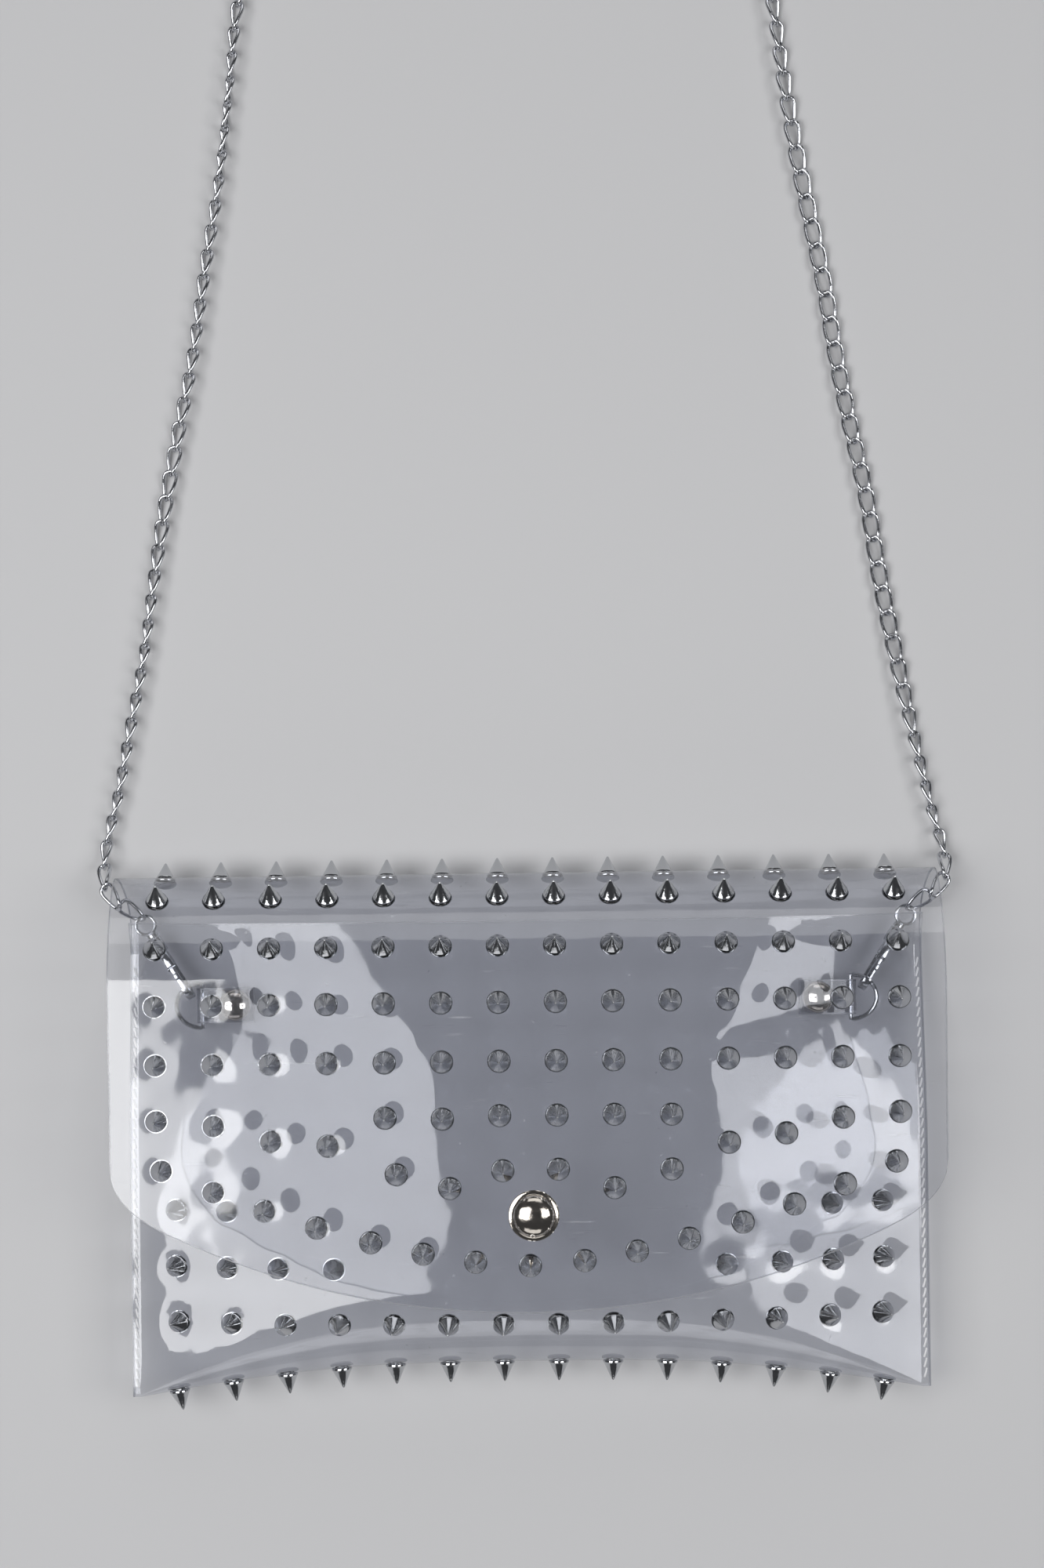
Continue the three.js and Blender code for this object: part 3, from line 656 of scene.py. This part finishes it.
for node, outline, height, body in (
    ("snap_cap", CAP, snap_flap[2], "flap"),
    ("snap_socket", SOCKET, snap_flap[2], "flap"),
    ("snap_stud", STUD, snap_front, "root"),
    ("snap_back_ring", RING, snap_front, "root"),
):
    at = Matrix.Translation((SNAP_X, SNAP_Y, height))
    thing = make(f"{node}_look", [moved(lathe(outline, 64), at)], [nickel], 30)
    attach(thing, body)
    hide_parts(node)

# ---- Tabs, D rings and hooks ----
RIVET_X, RIVET_Y = 88.7, 117.3
BAR_REACH, TAB_LOOP_Z = 9.8, 1.8  # the D-ring's bar, from the rivet's foot
TAB_END = -6
TAB_LIFT = 1.19  # over the back panel
D_RING_TILT = -20
HOOK_START, HOOK_DIRECTION = (102.65, 122.4, 9.3), (0.538, 0.843, -0.085)


def tab_place(side):
    """Stands a tab on the back panel, its X outwards along the sheet."""
    low, high = RIVET_X + TAB_END, RIVET_X + BAR_REACH + 1.8
    rise = (back_height(high, RIVET_Y) - back_height(low, RIVET_Y)) / (high - low)
    slope = (back_height(RIVET_X, RIVET_Y + 5) - back_height(RIVET_X, RIVET_Y - 5)) / 10
    along = Vector((side, 0, rise)).normalized()
    up = along.cross(Vector((0, side, side * slope))).normalized()
    height = back_height(low, RIVET_Y) + rise * (RIVET_X - low) + TAB_LIFT
    turn = Matrix((along, up.cross(along), up)).transposed().to_4x4()
    return Matrix.Translation((side * RIVET_X, RIVET_Y, height)) @ turn


def hook_place(side):
    """Lays a hook on edge, its X from the jaw to the eye."""
    along = Vector((side * HOOK_DIRECTION[0], *HOOK_DIRECTION[1:])).normalized()
    thick = Vector((0, 0, 1)).cross(along).normalized()
    up = along.cross(thick)
    turn = Matrix((along, thick, up)).transposed().to_4x4()
    return Matrix.Translation((side * HOOK_START[0], *HOOK_START[1:])) @ turn


TAB_HALF, TAB_SHEET = 5.25, 0.6
tab_path = [(TAB_END, 0.1), (TAB_END + RIM, 0.1), (0, 0.1), (6, 0.1)]
tab_path += arc((BAR_REACH, TAB_LOOP_Z), 1.7, -90, 110, 18)
tab_path += [(6.2, 1.7), (0, 1.7), (TAB_END + RIM, 1.7), (TAB_END, 1.7)]
tab_width = (-TAB_HALF, RIM - TAB_HALF, -2, 2, TAB_HALF - RIM, TAB_HALF)
tab_strip = film([[(x, y, z) for y in tab_width] for x, z in tab_path], TAB_SHEET)
DOME = [(0, -2.0), (1.3, -2.0), (1.3, 1.75), (4.5, 1.75), (4.75, 1.95), (4.75, 2.15)]
DOME += [(4.7 * math.cos(a), 2.15 + 2.4 * math.sin(a)) for a in np.linspace(0.1, 1.45, 12)]
DOME += [(0, 4.55)]
WASHER = [(1.6, -2.1), (4.2, -2.1), (4.5, -1.8), (4.4, -1.45), (1.6, -1.45), (1.6, -2.1)]

D_WIRE = 0.7
d_path = [(0, y, 0) for y in np.linspace(6.6, -6.6, 9)]
d_path += [(8.4 * math.cos(a), 6.8 * math.sin(a), 0) for a in np.linspace(-1.45, 1.45, 30)]

jaw_in, jaw_out = 1.9, 3.4
hook_outline = [(8.6, jaw_out), (8.6, jaw_in), (9.6, jaw_in), (9.6, -jaw_in)]
hook_outline += arc((0.4, 0), jaw_in, -90, -270, 16) + [(0.9, jaw_in), (0.9, jaw_out)]
hook_outline += arc((0.4, 0), jaw_out, 90, 270, 20)
hook_outline += [(10.2, -3.3), (12.2, -2.9), (14.2, -1.9), (14.2, 1.9), (12.2, 2.9), (10.2, 3.3)]
BARREL = [(1.0, 13.6), (1.9, 13.6), (2.05, 13.8), (2.05, 15), (1.85, 15.2), (2.05, 15.4)]
BARREL += [(2.05, 18.2), (1.8, 18.5), (1.0, 18.5), (1.0, 13.6)]
gate_outline = [(1.2, 2.05), (8.3, 2.05), (8.3, 3.3), (6, 3.3), (5.5, 4.5), (4.3, 4.6), (3.8, 3.3)]
gate_outline += [(1.2, 3.3)]
PIVOT = [(0, -1.35), (0.7, -1.35), (0.7, 1.35), (0, 1.35)]
SPINDLE = [(0, 8.8), (1.45, 8.8), (1.5, 9.25), (0.7, 9.4), (0.7, 18.7), (1.7, 18.8)]
SPINDLE += [(1.85, 19.0), (1.85, 19.8), (1.5, 20.2), (0, 20.3)]
to_x = Matrix.Rotation(math.pi / 2, 4, "Y")
eye_path = [(23.4 + 2.9 * math.cos(a), 2.9 * math.sin(a), 0)
            for a in np.linspace(0, 2 * math.pi, 28, endpoint=False)]


def hardware(name, shapes, at, material, body, edge=None):
    """One piece that replaces the node of its name."""
    materials = [material] + ([edge] if edge else [])
    thing = make(f"{name}_look", [moved(shape, at) for shape in shapes], materials, 30)
    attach(thing, body)
    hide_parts(name)


for label, side in SIDES.items():
    tab, hook = tab_place(side), hook_place(side)
    hardware(f"tab_{label}", [tab_strip], tab, clear_vinyl, "root", vinyl_edge_painted_shade)
    hardware(f"tab_rivet_{label}", [lathe(DOME, 40)], tab, nickel, "root")
    hardware(f"tab_washer_{label}", [lathe(WASHER, 32)], tab, nickel, "root")
    tilt = Matrix.Rotation(math.radians(D_RING_TILT), 4, "Y")
    bar = tab @ Matrix.Translation((BAR_REACH, 0, TAB_LOOP_Z)) @ tilt
    ring = tube(d_path, D_WIRE, 12, closed=True)
    hardware(f"d_ring_{label}", [ring], bar, hook_metal, f"d_ring_{label}")
    body = [slab(hook_outline, 2.4, 0.35), moved(lathe(BARREL, 28), to_x)]
    hardware(f"hook_{label}", body, hook, hook_metal, f"hook_{label}")
    pin = Matrix.Translation((8, 0, 2.65)) @ Matrix.Rotation(math.pi / 2, 4, "X")
    gate = [slab(gate_outline, 1.6, 0.2), moved(lathe(PIVOT, 16), pin)]
    hardware(f"hook_gate_{label}", gate, hook, hook_metal, f"gate_{label}")
    eye = [moved(lathe(SPINDLE, 28), to_x), tube(eye_path, 0.6, 12, closed=True)]
    hardware(f"swivel_eye_{label}", eye, hook, hook_metal, f"swivel_{label}")

# ---- Chain ----
PITCH = 7.6
WIRE = 0.6
HALF_LENGTH, HALF_WIDTH, TWIST = 4.4, 2.15, 0.85  # of a link's centre line
HANGS_TO, LIES_FROM = 36, 52  # distances along the chain
COIL_X, COIL_Y, COIL_OUT, COIL_SWEEP = -2, 474, 34.4, math.radians(380)
COIL_STEP = 5.4  # how far in a whole turn goes

# Where the chain lies on each side, from its swivel's eye to the coil.
ROUTES = {
    "left": [
        (-116.4, 144.1, 8.2), (-120.2, 147.2, 10.2), (-124, 149.8, 11), (-126.6, 154, 9),
        (-127.6, 159, 5.6), (-127.3, 165, 3.2), (-126.2, 171, 2.6), (-124.4, 178, 2.6),
        (-119.6, 201.6, 2.6), (-115.3, 223, 2.6), (-112.1, 244.5, 2.6), (-108.2, 268.2, 2.6),
        (-103.6, 292.1, 2.6), (-99.2, 313.5, 2.6), (-94.7, 342.1, 2.6), (-90.6, 365.9, 2.6),
        (-86.9, 394.6, 2.6), (-83.4, 423.1, 2.6), (-80.5, 434, 2.6), (-73, 443.5, 2.4),
        (-60, 450.5, 2.2), (-46, 452, 2.0), (-31.9, 448.3, 1.8),
    ],
    "right": [
        (116.4, 144.1, 8.2), (120.2, 147.2, 10.2), (124, 149.8, 11), (126.6, 154, 9),
        (127.4, 159, 5.6), (126.6, 165, 3.2), (124.8, 171.5, 2.6), (121.8, 184, 2.6),
        (117.6, 203.1, 2.6), (113.2, 224.6, 2.6), (109.2, 246.1, 2.6), (105.5, 270.1, 2.6),
        (100.5, 294, 2.6), (96.5, 315.6, 2.6), (94, 332.3, 2.6), (89.8, 353.9, 2.6),
        (86.1, 373, 2.6), (82.2, 396.9, 2.6), (78.9, 420.9, 2.6), (76.5, 432, 2.6),
        (69.5, 441.5, 2.4), (57, 449.5, 2.4), (42, 452, 3.4), (27.9, 448.3, 4.2),
    ],
}


def spline(knots, step=0.5):
    """A smooth line through the knots, as points one step apart."""
    knots = np.asarray(knots, float)
    t = np.concatenate([[0], np.cumsum(np.linalg.norm(np.diff(knots, axis=0), axis=1))])
    slope = np.gradient(knots, t, axis=0)
    line = []
    for k in range(len(knots) - 1):
        span = t[k + 1] - t[k]
        for u in np.linspace(0, 1, max(int(span / step), 2), endpoint=False):
            a, b = 2 * u**3 - 3 * u**2 + 1, u**3 - 2 * u**2 + u
            c, d = 3 * u**2 - 2 * u**3, u**3 - u**2
            line.append(a * knots[k] + b * span * slope[k] + c * knots[k + 1] + d * span * slope[k + 1])
    line.append(knots[-1])
    return np.array(line)


def coil_points(side, height):
    """From the outside of the coil in towards its inner turn, left one way, right the other."""
    start = math.radians(-90 + side * 20)
    points = []
    for t in np.linspace(0, 1, 60):
        turn = COIL_SWEEP * t
        angle = start - side * turn
        radius = COIL_OUT - COIL_STEP * turn / (2 * math.pi)
        points.append((COIL_X + radius * math.cos(angle), COIL_Y + radius * math.sin(angle), height(t)))
    return points


def link_roll(label, s):
    """How far the links stand on edge, in degrees, at a distance along the chain."""
    start = 30 + 40 * ease(s, 10, 32)
    if label == "left":
        middle = 60 + 14 * math.sin(s / 31) + 9 * math.sin(s / 12.5)
    else:
        middle = 58 - 50 * ease(s, 40, 120) + 44 * ease(s, 215, 300) + 7 * math.sin(s / 19)
    settle = 1 - ease(s, 335, 385)
    return start + (middle * settle - start) * ease(s, 32, 75)


def floor_under(label, s, total):
    """The height that the chain lies on, or None where it hangs."""
    if s < HANGS_TO:
        return None
    if label == "left":
        return 0.05
    return 0.05 + 2.75 * ease(s, 340, 366) * (1 - ease(s, total - 40, total - 8))


link_angles = np.linspace(0, 2 * math.pi, 28, endpoint=False)


def squared(value, power):
    """A sine or cosine swollen towards its ends."""
    return math.copysign(abs(value) ** power, value)


def link_shape(twist):
    """A link twisted a little, so that the chain lies flatter."""
    path = [(HALF_LENGTH * squared(math.cos(a), 0.85), HALF_WIDTH * squared(math.sin(a), 0.7),
             twist * math.sin(2 * a)) for a in link_angles]
    return tube(path, WIRE, 8, closed=True)


for label, side in SIDES.items():
    plain_link = link_shape(-side * TWIST)
    height = (lambda t: 1.5) if label == "left" else (lambda t: 4.2 - 2.7 * ease(t, 0.82, 0.97))
    path = spline(ROUTES[label] + coil_points(side, height))
    lengths = np.concatenate([[0], np.cumsum(np.linalg.norm(np.diff(path, axis=0), axis=1))])
    total = lengths[-1]
    along = np.gradient(path, lengths, axis=0)
    links = []
    for k in range(int(total / PITCH)):
        s = (k + 0.5) * PITCH
        centre = Vector([np.interp(s, lengths, path[:, i]) for i in range(3)])
        forward = Vector([np.interp(s, lengths, along[:, i]) for i in range(3)]).normalized()
        up = (Vector((0, 0, 1)) - forward * forward.z).normalized()
        roll = math.radians(link_roll(label, s))
        normal = up * math.cos(roll) + forward.cross(up) * math.sin(roll) * side
        turn = Matrix((forward, normal.cross(forward), normal)).transposed().to_4x4()
        link = moved(plain_link, Matrix.Translation(centre) @ turn)
        ground = floor_under(label, s, total)
        if ground is not None:
            drop = link[0][:, 2].min() - ground
            link[0][:, 2] -= drop * ease(s, HANGS_TO, LIES_FROM)
        links.append(link)
    chain = make(f"chain_{label}", links, [chain_metal], 60)
    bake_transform(chain)
    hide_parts(f"chain_run_{label}", *(["chain_coil"] if label == "left" else []))

# ---- Floor and light ----
floor_mesh = bpy.data.meshes.new("floor")
corners = [(-4, -4), (4, -4), (4, 4), (-4, 4)]
floor_mesh.from_pydata([(x, y, -0.0002) for x, y in corners], [], [[0, 1, 2, 3]])
floor_mesh.materials.append(principled("floor", Base_Color=(0.62, 0.62, 0.63, 1), Roughness=0.8))
floor = bpy.data.objects.new("floor", floor_mesh)
bpy.context.collection.objects.link(floor)


def softbox(name, location, width, height, watts):
    """A lamp that faces the object."""
    lamp = bpy.data.lights.new(name, "AREA")
    lamp.shape = "RECTANGLE"
    lamp.size, lamp.size_y, lamp.energy = width, height, watts
    thing = bpy.data.objects.new(name, lamp)
    thing.location = location
    thing.rotation_euler = (-Vector(location)).to_track_quat("-Z", "Y").to_euler()
    bpy.context.collection.objects.link(thing)


softbox("softbox_left", (-0.60, 0.06, 1.14), 0.74, 0.82, 9.6)
softbox("softbox_right", (0.80, 0.06, 1.06), 0.5, 0.7, 5.6)
softbox("softbox_far", (0.1, 1.25, 0.75), 1.2, 0.6, 2.6)
softbox("softbox_near", (-0.1, -1.15, 0.75), 1.2, 0.5, 1.8)
world = bpy.data.worlds.new("world")
world.use_nodes = True
world.node_tree.nodes["Background"].inputs["Color"].default_value = (0.93, 0.95, 1, 1)
world.node_tree.nodes["Background"].inputs["Strength"].default_value = 0.06
bpy.context.scene.view_settings.view_transform = "Standard"
bpy.context.scene.world = world
